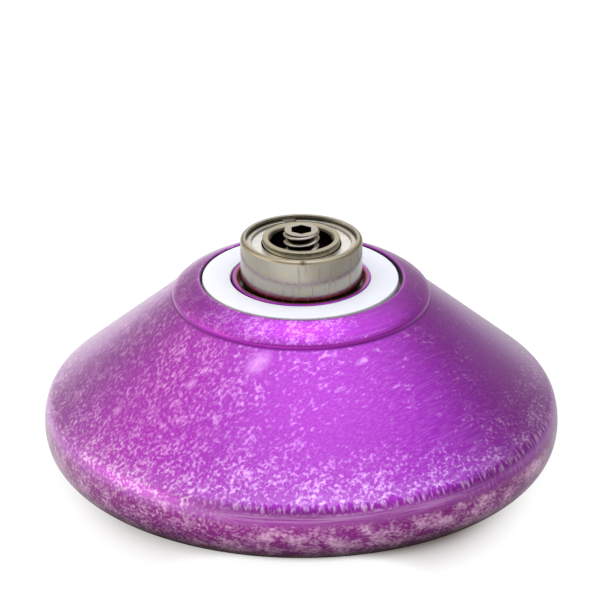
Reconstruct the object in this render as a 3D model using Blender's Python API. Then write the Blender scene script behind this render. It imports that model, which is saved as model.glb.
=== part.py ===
"""One half of a take-apart metal yo-yo, lying on its rim with the bearing and the axle fitted.

The turned shell stands on the table at z = 0 with its axis on Z. Seen from above, from the axis outwards:
the axle screw in its seat post, the ball bearing on the post, the ridge round the bearing's recess, the
silicone response pad in its groove, the shoulder, a small step, the flank and the rim. The far side is a cup.
"""

import math

import bmesh
import bpy
from mathutils import Matrix, Vector

# Ball bearing, the standard yo-yo size of 1/4 x 1/2 x 3/16 inch
BEARING_BORE = 0.00635
BEARING_OUTER_DIAMETER = 0.0127
BEARING_WIDTH = 0.0047625
BALL_DIAMETER = 0.001984
BALL_COUNT = 10
RACEWAY_DEPTH = 0.0002795
INNER_RACE_CHAMFER = 0.0003
LAND_CHAMFER = 0.0001
OUTER_RACE_ROUND = 0.0002
SHIELD_MOUTH_WALL = 0.00057
SHIELD_THICKNESS = 0.0002
CLIP_THICKNESS = 0.00022
CLIP_WIDTH = 0.00066
CLIP_LIP = 0.0001
CLIP_DROP = 0.00041
CLIP_GAP_ANGLE = math.radians(14)
CLIP_GAP_AZIMUTH = math.radians(103)
CAGE_LIP = 0.00035
CAGE_POCKET_CLEARANCE = 0.00008
CAGE_SIDE_CLEARANCE = 0.00025
SHIELD_BORE_CLEARANCE = 0.0001
RACEWAY_CLEARANCE = 0.00005

# Axle, an M4 set screw
AXLE_DIAMETER = 0.004
AXLE_LENGTH = 0.012
THREAD_PITCH = 0.0007
THREAD_DEPTH = 0.00043
AXLE_CHAMFER = 0.00023
SOCKET_ACROSS_FLATS = 0.002
SOCKET_DEPTH = 0.002
AXLE_PROUD = 0.00088

# Response pad and the ridge between it and the bearing
RECESS_GAP = 0.00025
RIDGE_WIDTH = 0.00065
RIDGE_PROUD = 0.00008
PAD_INNER_GAP = 0.00015
PAD_WIDTH = 0.00293
PAD_OUTER_GAP = 0.00022
PAD_PROUD = 0.00007
PAD_EDGE_ROUND = 0.00015
PAD_OFF_CENTRE = 0.0001
GROOVE_DEPTH = 0.00093

# Shell outside: rim, flank, step and shoulder
RIM_HEIGHT = 0.0064
RIM_BULGE_RADIUS = 0.0061
RIM_TOP_SLOPE = math.radians(66.5)
RIM_TURN_SLOPE = math.radians(102)
CREASE_RADIUS = 0.0005
LAND_WIDTH = 0.0009
FLANK_WIDTH = 0.013
FLANK_RISE = 0.01122
STEP_HEIGHT = 0.00041
SHOULDER_WIDTH = 0.00298
SHOULDER_RISE = 0.0016
SHOULDER_RADIUS = 0.0078

# Shell inside: bearing seat, axle hole and cup
SEAT_DROP = 0.00025
SEAT_RELIEF = 0.00048
SEAT_SETBACK = 0.0001
POST_HEIGHT = 0.00222
POST_CHAMFER = 0.0002
HOLE_CHAMFER = 0.00025
HOLE_SPARE_DEPTH = 0.0005
LIP_ROUND = 0.0007
FLANK_WALL = 0.0022
HUB_WALL = 0.0042
BOSS_WALL = 0.00345
BOSS_SKIN = 0.0017
BOSS_ROUND = 0.0005
DIMPLE_RADIUS = 0.0014
DIMPLE_DEPTH = 0.0007
RIM_CORNER_ROUND = 0.0015
HUB_CORNER_ROUND = 0.002
BOSS_CORNER_ROUND = 0.0008

# Clearances between pieces that touch or run in each other
SEAT_CLEARANCE = 0.00002
POST_CLEARANCE = 0.00003
THREAD_CLEARANCE = 0.00005
CLIP_CLEARANCE = 0.00003

# Mesh fineness
SHELL_SEGMENTS = 56
RING_SEGMENTS = 40
THREAD_SEGMENTS = 12
BALL_SEGMENTS = 12
BALL_RINGS = 8
POCKET_SEGMENTS = 16
POCKET_RINGS = 10
SHARP_ANGLE = math.radians(35)
MERGE_DISTANCE = 1e-7

# Radii, from the bearing outwards
bore_radius = BEARING_BORE / 2
bearing_radius = BEARING_OUTER_DIAMETER / 2
pitch_radius = (bore_radius + bearing_radius) / 2
ball_radius = BALL_DIAMETER / 2
inner_land_radius = pitch_radius - ball_radius + RACEWAY_DEPTH
outer_land_radius = pitch_radius + ball_radius - RACEWAY_DEPTH
recess_radius = bearing_radius + RECESS_GAP
ridge_radius = recess_radius + RIDGE_WIDTH
pad_inner_radius = ridge_radius + PAD_INNER_GAP
pad_outer_radius = pad_inner_radius + PAD_WIDTH
groove_radius = pad_outer_radius + PAD_OUTER_GAP
step_radius = groove_radius + SHOULDER_WIDTH
crease_radius = step_radius + FLANK_WIDTH
post_radius = bore_radius - POST_CLEARANCE
hole_radius = AXLE_DIAMETER / 2 + THREAD_CLEARANCE
boss_radius = hole_radius + BOSS_WALL

# Heights, from the table upwards
step_base_height = RIM_HEIGHT + FLANK_RISE
step_top_height = step_base_height + STEP_HEIGHT
groove_edge_height = step_top_height + SHOULDER_RISE
groove_floor_height = groove_edge_height - GROOVE_DEPTH
pad_top_height = groove_edge_height + PAD_PROUD
ridge_top_height = pad_top_height + RIDGE_PROUD
seat_height = groove_edge_height - SEAT_DROP
recess_floor_height = seat_height - SEAT_RELIEF
post_top_height = seat_height + POST_HEIGHT
bearing_base_height = seat_height + SEAT_CLEARANCE
bearing_middle_height = bearing_base_height + BEARING_WIDTH / 2
axle_top_height = bearing_base_height + BEARING_WIDTH + AXLE_PROUD
axle_base_height = axle_top_height - AXLE_LENGTH
hole_base_height = axle_base_height - HOLE_SPARE_DEPTH
boss_base_height = hole_base_height - BOSS_SKIN
hub_height = groove_floor_height - HUB_WALL

# Heights inside the bearing, from its middle plane
half_width = BEARING_WIDTH / 2
clip_top = half_width - CLIP_DROP
shield_top = clip_top - CLIP_THICKNESS - CLIP_CLEARANCE
shield_bottom = shield_top - SHIELD_THICKNESS
shield_shelf = shield_bottom - CLIP_CLEARANCE
cage_top = shield_bottom - CAGE_POCKET_CLEARANCE
shield_mouth_radius = bearing_radius - SHIELD_MOUTH_WALL
clip_groove_radius = shield_mouth_radius + CLIP_LIP
clip_radius = clip_groove_radius - CLIP_CLEARANCE


def clear_scene():
    """Remove every object of the scene this is run in."""
    for obj in list(bpy.data.objects):
        bpy.data.objects.remove(obj, do_unlink=True)


def material(name, colour, roughness, metallic):
    """A Principled material of one colour."""
    made = bpy.data.materials.new(name)
    made.use_nodes = True
    shader = made.node_tree.nodes["Principled BSDF"]
    shader.inputs["Base Color"].default_value = (*colour, 1.0)
    shader.inputs["Roughness"].default_value = roughness
    shader.inputs["Metallic"].default_value = metallic
    made.diffuse_color = (*colour, 1.0)
    return made


def arc_along(start, slope, end_slope, radius, steps):
    """Points of an arc that leaves start at a downward slope and bends to end_slope, without start."""
    turns = [slope + (end_slope - slope) * i / steps for i in range(1, steps + 1)]
    return [
        (
            start[0] + radius * (math.sin(turn) - math.sin(slope)),
            start[1] - radius * (math.cos(slope) - math.cos(turn)),
        )
        for turn in turns
    ]


def arc_between(start, end, radius, steps):
    """Points of the outward-bulging arc from start down to end, both left out."""
    run = end[0] - start[0]
    fall = start[1] - end[1]
    half_turn = math.asin(math.hypot(run, fall) / (2 * radius))
    chord_slope = math.atan2(fall, run)
    points = arc_along(start, chord_slope - half_turn, chord_slope + half_turn, radius, steps)
    return points[:-1]


def rounded(corners, steps=2):
    """Outline points from (r, z) corners, where a third number rounds that corner off as an arc."""
    points = []
    for i, corner in enumerate(corners):
        here = Vector(corner[:2])
        if len(corner) == 2:
            points.append(tuple(here))
            continue
        back = (Vector(corners[i - 1][:2]) - here).normalized()
        ahead = (Vector(corners[(i + 1) % len(corners)][:2]) - here).normalized()
        half_angle = back.angle(ahead) / 2
        centre = here + (back + ahead).normalized() * corner[2] / math.sin(half_angle)
        first = here + back * corner[2] / math.tan(half_angle) - centre
        turn = first.angle_signed(here + ahead * corner[2] / math.tan(half_angle) - centre)
        for step in range(steps + 1):
            points.append(tuple(centre + Matrix.Rotation(-turn * step / steps, 2) @ first))
    return points


def turned_mesh(name, outline, segments, closed=True, angle=math.tau, start=0.0):
    """Mesh of an (r, z) outline spun round Z. An outline that isn't closed starts and ends on the axis."""
    shape = bmesh.new()
    count = len(outline)
    begin = Matrix.Rotation(start, 3, "Z")
    points = [shape.verts.new(begin @ Vector((r, 0.0, z))) for r, z in outline]
    edges = [
        shape.edges.new((points[i], points[(i + 1) % count]))
        for i in range(count if closed else count - 1)
    ]
    full = angle >= math.tau
    if not full:
        first_cap = shape.faces.new(points)
        edges = list(first_cap.edges)
    spun = bmesh.ops.spin(
        shape, geom=points + edges, cent=(0, 0, 0), axis=(0, 0, 1), angle=angle, steps=segments,
        use_merge=full,
    )
    if not full:
        last_edges = [item for item in spun["geom_last"] if isinstance(item, bmesh.types.BMEdge)]
        bmesh.ops.edgeloop_fill(shape, edges=last_edges)
    bmesh.ops.remove_doubles(shape, verts=shape.verts, dist=MERGE_DISTANCE)
    bmesh.ops.recalc_face_normals(shape, faces=shape.faces)
    mesh = bpy.data.meshes.new(name)
    shape.to_mesh(mesh)
    shape.free()
    return mesh


def add_object(name, mesh, finish, parent=None, location=(0, 0, 0)):
    """Put a mesh in the scene as a smooth-shaded sub-part."""
    mesh.shade_smooth()
    mesh.set_sharp_from_angle(angle=SHARP_ANGLE)
    obj = bpy.data.objects.new(name, mesh)
    if finish:
        mesh.materials.append(finish)
    bpy.context.scene.collection.objects.link(obj)
    obj.parent = parent
    obj.location = location
    return obj


def add_empty(name, height):
    """An empty on the axis of the yo-yo, to carry pieces that move together."""
    empty = bpy.data.objects.new(name, None)
    empty.location = (0, 0, height)
    empty.empty_display_size = bearing_radius
    bpy.context.scene.collection.objects.link(empty)
    return empty


def cut(obj, cutter, operation="DIFFERENCE"):
    """Leave a Boolean on obj, with its cutter out of sight."""
    cutter.hide_render = True
    cutter.display_type = "WIRE"
    boolean = obj.modifiers.new(cutter.name, "BOOLEAN")
    boolean.operation = operation
    boolean.object = cutter
    boolean.solver = "EXACT"


def shell_outside():
    """Outline of the shell from the groove's outer edge, over the flank, to the land under the rim."""
    groove_edge = (groove_radius, groove_edge_height)
    step_top = (step_radius, step_top_height)
    flank_slope = math.atan2(FLANK_RISE, FLANK_WIDTH)
    outline = [groove_edge, *arc_between(groove_edge, step_top, SHOULDER_RADIUS, 4), step_top]
    outline.append((step_radius, step_base_height))
    crease = (crease_radius, RIM_HEIGHT)
    outline.append(crease)
    outline += arc_along(crease, flank_slope, RIM_TOP_SLOPE, CREASE_RADIUS, 2)
    outline += arc_along(outline[-1], RIM_TOP_SLOPE, RIM_TURN_SLOPE, RIM_BULGE_RADIUS, 4)
    heel_radius = outline[-1][1] / (1 + math.cos(RIM_TURN_SLOPE))
    outline += arc_along(outline[-1], RIM_TURN_SLOPE, math.pi, heel_radius, 5)
    outline[-1] = (outline[-1][0], 0.0)
    return outline


def shell_cup(land_radius):
    """Outline of the cup, from the land's inner edge up the rim wall and over to the axis."""
    wall_radius = land_radius - LAND_WIDTH - LIP_ROUND
    flank_slope = math.atan2(FLANK_RISE, FLANK_WIDTH)
    rise, run = math.sin(flank_slope), math.cos(flank_slope)
    ceiling = step_radius * rise + step_base_height * run - FLANK_WALL
    return [
        (wall_radius, 0.0, LIP_ROUND),
        (wall_radius, (ceiling - wall_radius * rise) / run, RIM_CORNER_ROUND),
        ((ceiling - hub_height * run) / rise, hub_height, HUB_CORNER_ROUND),
        (boss_radius, hub_height, BOSS_CORNER_ROUND),
        (boss_radius, boss_base_height, BOSS_ROUND),
        (DIMPLE_RADIUS, boss_base_height),
        (0.0, boss_base_height + DIMPLE_DEPTH),
    ]


def shell_middle():
    """Outline of the shell's middle, from the axle hole's floor over the seat and ridge to the groove."""
    ridge_round = RIDGE_WIDTH / 2
    ridge_side = ridge_top_height - ridge_round
    ridge_middle = recess_radius + ridge_round
    ridge = [
        (ridge_middle - ridge_round * math.cos(turn), ridge_side + ridge_round * math.sin(turn))
        for turn in [math.pi * i / 6 for i in range(7)]
    ]
    return [
        (0.0, hole_base_height),
        (hole_radius, hole_base_height),
        (hole_radius, post_top_height - HOLE_CHAMFER),
        (hole_radius + HOLE_CHAMFER, post_top_height),
        (post_radius - POST_CHAMFER, post_top_height),
        (post_radius, post_top_height - POST_CHAMFER),
        (post_radius, seat_height),
        (inner_land_radius - SEAT_SETBACK, seat_height),
        (inner_land_radius - SEAT_SETBACK, recess_floor_height),
        (recess_radius, recess_floor_height),
        *ridge,
        (ridge_radius, groove_floor_height),
        (groove_radius, groove_floor_height),
    ]


def make_shell(finish):
    """The turned half shell."""
    outside = shell_outside()
    outline = rounded([*shell_middle(), *outside, *shell_cup(outside[-1][0])])
    return add_object("half_shell", turned_mesh("half_shell", outline, SHELL_SEGMENTS, closed=False), finish)


def make_pad(finish, parent):
    """The silicone response pad, which lies a little off centre in its groove."""
    floor = groove_floor_height + SEAT_CLEARANCE
    outline = rounded([
        (pad_inner_radius, floor),
        (pad_outer_radius, floor),
        (pad_outer_radius, pad_top_height, PAD_EDGE_ROUND),
        (pad_inner_radius, pad_top_height, PAD_EDGE_ROUND),
    ])
    mesh = turned_mesh("response_pad", outline, RING_SEGMENTS)
    return add_object("response_pad", mesh, finish, parent, (-PAD_OFF_CENTRE, 0, 0))


def is_level(edge, height):
    """Does this edge lie flat at this height?"""
    return all(abs(point.co.z - height) < MERGE_DISTANCE for point in edge.verts)


def thread_mesh(name, core_radius, top):
    """A threaded rod from below z = 0 to above top: one pitch of thread outline, screwed along Z."""
    crest = THREAD_PITCH / 8
    root = THREAD_PITCH / 4
    flank = (THREAD_PITCH - crest - root) / 2
    crest_radius = core_radius + THREAD_DEPTH
    pitch_outline = [
        (core_radius, 0.0),
        (core_radius, root),
        (crest_radius, root + flank),
        (crest_radius, root + flank + crest),
    ]
    turns = math.ceil(top / THREAD_PITCH) + 2
    shape = bmesh.new()
    rows = []
    for step in range(turns * THREAD_SEGMENTS + 1):
        angle = math.tau * step / THREAD_SEGMENTS
        climb = THREAD_PITCH * (step / THREAD_SEGMENTS - 2)
        rows.append([
            shape.verts.new((r * math.cos(angle), r * math.sin(angle), z + climb))
            for r, z in pitch_outline
        ])
    for step in range(turns * THREAD_SEGMENTS):
        here, ahead = rows[step], rows[step + 1]
        for i in range(len(pitch_outline) - 1):
            shape.faces.new((here[i], ahead[i], ahead[i + 1], here[i + 1]))
        if step + THREAD_SEGMENTS + 1 < len(rows):
            above, above_ahead = rows[step + THREAD_SEGMENTS], rows[step + THREAD_SEGMENTS + 1]
            shape.faces.new((here[-1], ahead[-1], above_ahead[0], above[0]))
    for height, normal in ((0.0, (0, 0, -1)), (top, (0, 0, 1))):
        everything = [*shape.verts, *shape.edges, *shape.faces]
        bmesh.ops.bisect_plane(
            shape, geom=everything, dist=MERGE_DISTANCE, plane_co=(0, 0, height), plane_no=normal,
            clear_outer=True,
        )
        end_loop = [edge for edge in shape.edges if edge.is_boundary and is_level(edge, height)]
        bmesh.ops.edgeloop_fill(shape, edges=end_loop)
    bmesh.ops.recalc_face_normals(shape, faces=shape.faces)
    mesh = bpy.data.meshes.new(name)
    shape.to_mesh(mesh)
    shape.free()
    return mesh


def make_axle(finish, parent):
    """The axle: a threaded set screw with chamfered ends and a hex socket in its top."""
    crest_radius = AXLE_DIAMETER / 2
    end_radius = crest_radius - AXLE_CHAMFER
    reach = crest_radius + AXLE_CHAMFER
    base = (0, 0, axle_base_height)
    screw = thread_mesh("axle", crest_radius - THREAD_DEPTH, AXLE_LENGTH)
    axle = add_object("axle", screw, finish, parent, base)
    envelope = [
        (0.0, 0.0),
        (end_radius, 0.0),
        (reach, 2 * AXLE_CHAMFER),
        (reach, AXLE_LENGTH - 2 * AXLE_CHAMFER),
        (end_radius, AXLE_LENGTH),
        (0.0, AXLE_LENGTH),
    ]
    blank = turned_mesh("axle_envelope", envelope, RING_SEGMENTS, closed=False)
    cut(axle, add_object("axle_envelope", blank, None, parent, base), "INTERSECT")
    socket_radius = SOCKET_ACROSS_FLATS / 2 / math.cos(math.pi / 6)
    socket = [
        (0.0, AXLE_LENGTH - SOCKET_DEPTH - socket_radius / 2),
        (socket_radius, AXLE_LENGTH - SOCKET_DEPTH),
        (socket_radius, AXLE_LENGTH + SOCKET_DEPTH),
        (0.0, AXLE_LENGTH + SOCKET_DEPTH),
    ]
    hexagon = turned_mesh("axle_socket", socket, 6, closed=False)
    cut(axle, add_object("axle_socket", hexagon, None, parent, base))
    return axle


def raceway(land_radius):
    """Points of a ball groove in a race whose land has this radius, from the top edge to the bottom one."""
    radius = ball_radius + RACEWAY_CLEARANCE
    side = land_radius - pitch_radius
    reach = math.asin(math.sqrt(radius**2 - side**2) / radius)
    steps = 6
    outward = math.copysign(radius, side)
    turns = [reach * (1 - 2 * i / steps) for i in range(steps + 1)]
    return [(pitch_radius + outward * math.cos(turn), radius * math.sin(turn)) for turn in turns]


def make_inner_race(finish, parent):
    """The inner race, chamfered at its bore."""
    outline = [
        (bore_radius, -half_width + INNER_RACE_CHAMFER),
        (bore_radius, half_width - INNER_RACE_CHAMFER),
        (bore_radius + INNER_RACE_CHAMFER, half_width),
        (inner_land_radius - LAND_CHAMFER, half_width),
        (inner_land_radius, half_width - LAND_CHAMFER),
        *raceway(inner_land_radius),
        (inner_land_radius, LAND_CHAMFER - half_width),
        (inner_land_radius - LAND_CHAMFER, -half_width),
        (bore_radius + INNER_RACE_CHAMFER, -half_width),
    ]
    mesh = turned_mesh("bearing_inner_race", outline, RING_SEGMENTS)
    return add_object("bearing_inner_race", mesh, finish, parent)


def make_outer_race(finish, parent):
    """The outer race, with a stepped mouth at each end for its shield and snap ring."""
    upper = [
        (outer_land_radius, shield_shelf),
        (clip_groove_radius, shield_shelf),
        (clip_groove_radius, clip_top + CLIP_CLEARANCE),
        (shield_mouth_radius, clip_top + CLIP_CLEARANCE),
        (shield_mouth_radius, half_width),
        (bearing_radius, half_width, OUTER_RACE_ROUND),
    ]
    lower = [(corner[0], -corner[1], *corner[2:]) for corner in reversed(upper)]
    outline = rounded([*reversed(raceway(outer_land_radius)), *upper, *lower])
    mesh = turned_mesh("bearing_outer_race", outline, RING_SEGMENTS)
    return add_object("bearing_outer_race", mesh, finish, parent)


def make_shield(name, finish, parent, side):
    """A dust shield in the mouth of the outer race, on the upper side (1) or the lower one (-1)."""
    outer = clip_groove_radius - CLIP_CLEARANCE
    inner = inner_land_radius + SHIELD_BORE_CLEARANCE
    outline = [
        (inner, side * shield_bottom),
        (outer, side * shield_bottom),
        (outer, side * shield_top),
        (inner, side * shield_top),
    ]
    return add_object(name, turned_mesh(name, outline, RING_SEGMENTS), finish, parent)


def make_clip(name, finish, parent, side):
    """The split snap ring that holds a shield, with its gap towards the back."""
    inner = clip_radius - CLIP_WIDTH
    low = clip_top - CLIP_THICKNESS
    outline = [
        (inner, side * low),
        (clip_radius, side * low),
        (clip_radius, side * clip_top),
        (inner, side * clip_top),
    ]
    start = CLIP_GAP_AZIMUTH + CLIP_GAP_ANGLE / 2
    sweep = math.tau - CLIP_GAP_ANGLE
    mesh = turned_mesh(name, outline, RING_SEGMENTS - 1, angle=sweep, start=start)
    return add_object(name, mesh, finish, parent)


def sphere_mesh(name, radius, segments, rings, centres=((0, 0, 0),)):
    """One mesh of a sphere at each centre."""
    shape = bmesh.new()
    for centre in centres:
        place = Matrix.Translation(centre)
        bmesh.ops.create_uvsphere(shape, u_segments=segments, v_segments=rings, radius=radius, matrix=place)
    mesh = bpy.data.meshes.new(name)
    shape.to_mesh(mesh)
    shape.free()
    return mesh


def ball_places():
    """Centres of the balls, from the bearing's middle plane."""
    turns = [math.tau * i / BALL_COUNT for i in range(BALL_COUNT)]
    return [(pitch_radius * math.cos(turn), pitch_radius * math.sin(turn), 0.0) for turn in turns]


def make_cage(finish, parent):
    """The crown cage: a ring above the balls with a pocket round each, open downwards."""
    inner = inner_land_radius + CAGE_SIDE_CLEARANCE
    outer = outer_land_radius - CAGE_SIDE_CLEARANCE
    outline = [(inner, -CAGE_LIP), (outer, -CAGE_LIP), (outer, cage_top), (inner, cage_top)]
    cage = add_object("bearing_cage", turned_mesh("bearing_cage", outline, RING_SEGMENTS), finish, parent)
    pocket = ball_radius + CAGE_POCKET_CLEARANCE
    mesh = sphere_mesh("cage_pockets", pocket, POCKET_SEGMENTS, POCKET_RINGS, ball_places())
    cut(cage, add_object("cage_pockets", mesh, None, parent))
    return cage


def make_bearing(race_steel, shield_steel, ball_steel, cage_steel):
    """The whole ball bearing, on an empty at its middle."""
    middle = add_empty("bearing_middle", bearing_middle_height)
    make_inner_race(race_steel, middle)
    make_outer_race(race_steel, middle)
    for name, side in (("upper", 1), ("lower", -1)):
        make_shield(f"{name}_shield", shield_steel, middle, side)
        make_clip(f"{name}_shield_clip", shield_steel, middle, side)
    make_cage(cage_steel, middle)
    for number, place in enumerate(ball_places(), start=1):
        name = f"bearing_ball_{number:02d}"
        add_object(name, sphere_mesh(name, ball_radius, BALL_SEGMENTS, BALL_RINGS), ball_steel, middle, place)


def main():
    """Build every sub-part of the half."""
    clear_scene()
    anodised = material("anodised_aluminium", (0.32, 0.06, 0.42), 0.32, 1.0)
    silicone = material("white_silicone", (0.86, 0.87, 0.9), 0.6, 0.0)
    race_steel = material("bearing_steel", (0.56, 0.54, 0.5), 0.25, 1.0)
    shield_steel = material("shield_steel", (0.5, 0.49, 0.46), 0.35, 1.0)
    ball_steel = material("ball_steel", (0.7, 0.7, 0.7), 0.1, 1.0)
    cage_steel = material("cage_steel", (0.55, 0.52, 0.46), 0.4, 1.0)
    axle_steel = material("plated_axle_steel", (0.66, 0.66, 0.68), 0.25, 1.0)
    shell = make_shell(anodised)
    make_pad(silicone, shell)
    make_axle(axle_steel, shell)
    make_bearing(race_steel, shield_steel, ball_steel, cage_steel)


main()
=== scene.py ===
"""Looks of one half of a take-apart metal yo-yo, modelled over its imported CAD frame.

The half lies on its rim on a white sweep with its axis on Z. Every sub-assembly is a class that turns its
own pieces and dresses them: the splash anodised shell, the silicone response pad, the axle screw and the
ball bearing. Sizes are in millimetres and become metres where a mesh is drawn.
"""

import logging
import math
from collections.abc import Callable, Iterable, Sequence
from dataclasses import dataclass, field, replace
from enum import Enum

import bmesh
import bpy
from bpy.types import Material, Node, NodeSocket, NodeTree, Object
from mathutils import Matrix, Vector

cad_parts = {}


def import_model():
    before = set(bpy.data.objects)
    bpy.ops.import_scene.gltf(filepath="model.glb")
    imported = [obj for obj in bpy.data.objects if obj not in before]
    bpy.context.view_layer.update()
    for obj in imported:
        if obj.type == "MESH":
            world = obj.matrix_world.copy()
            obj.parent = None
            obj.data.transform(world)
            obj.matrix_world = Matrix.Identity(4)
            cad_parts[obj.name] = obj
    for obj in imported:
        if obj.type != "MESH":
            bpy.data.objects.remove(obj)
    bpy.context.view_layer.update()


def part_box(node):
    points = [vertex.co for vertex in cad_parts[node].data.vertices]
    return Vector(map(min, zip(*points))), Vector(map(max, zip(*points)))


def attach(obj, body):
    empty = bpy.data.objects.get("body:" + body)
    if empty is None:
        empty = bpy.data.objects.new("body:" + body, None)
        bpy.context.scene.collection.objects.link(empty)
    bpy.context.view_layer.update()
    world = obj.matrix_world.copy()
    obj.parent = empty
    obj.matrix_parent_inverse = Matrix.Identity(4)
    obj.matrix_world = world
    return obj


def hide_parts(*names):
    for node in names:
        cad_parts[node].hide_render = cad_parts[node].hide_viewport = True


MM = 0.001
MERGE_DISTANCE = 1e-7
WHITE = "#FFFFFF"
SRGB_KNEE, SRGB_SLOPE, SRGB_OFFSET, SRGB_GAMMA = 0.04045, 12.92, 0.055, 2.4

EASED = {"interpolation_type": "SMOOTHSTEP"}
SMOOTH = {"Detail": 1.0}
FINE = {"Detail": 2.0}
ROUGH = {"Detail": 2.0, "Roughness": 0.55}
RAGGED = {"Detail": 3.0}
MOTTLED = {"Detail": 4.0, "Roughness": 0.6}

Colour = tuple[float, float, float, float]
Corner = tuple[float, float, float]
Span = tuple[float, float]
# Where a ramp starts and ends, and then what it gives at each of the two.
Ramp = tuple[float, float, float, float]
Source = Node | NodeSocket

log = logging.getLogger("yo_yo_half")


class Body(str, Enum):
    """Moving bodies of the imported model."""

    HALF = "half"
    AXLE = "axle"
    BEARING_CORE = "bearing_core"
    BEARING_OUTER = "bearing_outer"
    BALL_CAGE = "ball_cage"


class Slot(str, Enum):
    """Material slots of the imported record."""

    SHELL = "anodised_shell"
    PAD = "pad_silicone"
    AXLE = "axle_steel"
    RACE = "race_steel"
    SHIELD = "shield_steel"
    CLIP = "clip_steel"
    CAGE = "cage_steel"
    BALL = "ball_steel"


class Side(Enum):
    """End of the bearing that a shield or a snap ring closes."""

    UPPER = 1
    LOWER = -1


def linear(hex_colour: str) -> Colour:
    """Turn an sRGB hex colour into linear RGBA.

    Args:
        hex_colour: Colour as #RRGGBB.

    Returns:
        The colour's linear red, green and blue, with an alpha of 1.
    """
    channels = [int(hex_colour[start : start + 2], 16) / 255 for start in (1, 3, 5)]
    red, green, blue = (
        c / SRGB_SLOPE if c <= SRGB_KNEE else ((c + SRGB_OFFSET) / (1 + SRGB_OFFSET)) ** SRGB_GAMMA
        for c in channels
    )
    return (red, green, blue, 1.0)


def add_node(tree: NodeTree, kind: str, inputs: dict | tuple = (), **settings: object) -> Node:
    """Add a shader node with its settings and links.

    Args:
        tree: Node tree that the node joins.
        kind: Node type, without the words ShaderNode before it.
        inputs: Value, socket or node for each input, by its name or else in order.
        settings: Properties of the node, such as its operation.

    Returns:
        The new node.
    """
    node = tree.nodes.new(f"ShaderNode{kind}")
    for name, value in settings.items():
        setattr(node, name, value)
    used = [socket for socket in node.inputs if socket.enabled]
    if isinstance(inputs, dict):
        pairs = [(next(socket for socket in used if socket.name == name), inputs[name]) for name in inputs]
    else:
        pairs = list(zip(used, inputs))
    for socket, value in pairs:
        if isinstance(value, Node):
            value = next(output for output in value.outputs if output.enabled)
        if isinstance(value, NodeSocket):
            tree.links.new(value, socket)
        else:
            socket.default_value = value
    return node


class Finish:
    """A procedural material on Object coordinates in millimetres."""

    def __init__(self, name: str) -> None:
        """Start a material that holds only its coordinates.

        Args:
            name: Name of the material.
        """
        self.material = bpy.data.materials.new(name)
        self.material.use_nodes = True
        self.tree = self.material.node_tree
        self.tree.nodes.clear()
        place = self.add("TexCoord").outputs["Object"]
        self.place = self.add("VectorMath", {"Vector": place, "Scale": 1 / MM}, operation="SCALE")
        self.x, self.y, self.z = self.add("SeparateXYZ", (self.place,)).outputs

    def add(self, kind: str, inputs: dict | tuple = (), **settings: object) -> Node:
        """Add a node to this material, as add_node does."""
        return add_node(self.tree, kind, inputs, **settings)

    def radius(self) -> NodeSocket:
        """Measure the distance from the axis."""
        flat = self.add("VectorMath", (self.place, (1, 1, 0)), operation="MULTIPLY")
        return self.add("VectorMath", (flat,), operation="LENGTH").outputs["Value"]

    def off(self, value: Source, middle: float) -> Node:
        """Measure how far a value is from a middle, on either side."""
        shifted = self.add("Math", (value, middle), operation="SUBTRACT")
        return self.add("Math", (shifted,), operation="ABSOLUTE")

    def close(self, surface: Node) -> Material:
        """Put the surface on the material and hand it over."""
        self.add("OutputMaterial", {"Surface": surface})
        return self.material


class ShellFinish(Finish):
    """The shell's material, with the heights and the side that its patterns are laid out by."""

    def __init__(self, name: str, crease: float, foot: float, shoulder: float) -> None:
        """Start the material, and measure up from three heights.

        Args:
            name: Name of the material.
            crease: Height of the crease between flank and rim.
            foot: Height of the step's foot.
            shoulder: Height of the shoulder over the step.
        """
        super().__init__(name)
        self.over_crease, self.over_foot, self.over_shoulder = (
            self.add("Math", (self.z, height), operation="SUBTRACT") for height in (crease, foot, shoulder)
        )
        self.aside = self.add("Math", (self.x,), operation="ABSOLUTE")


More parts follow.
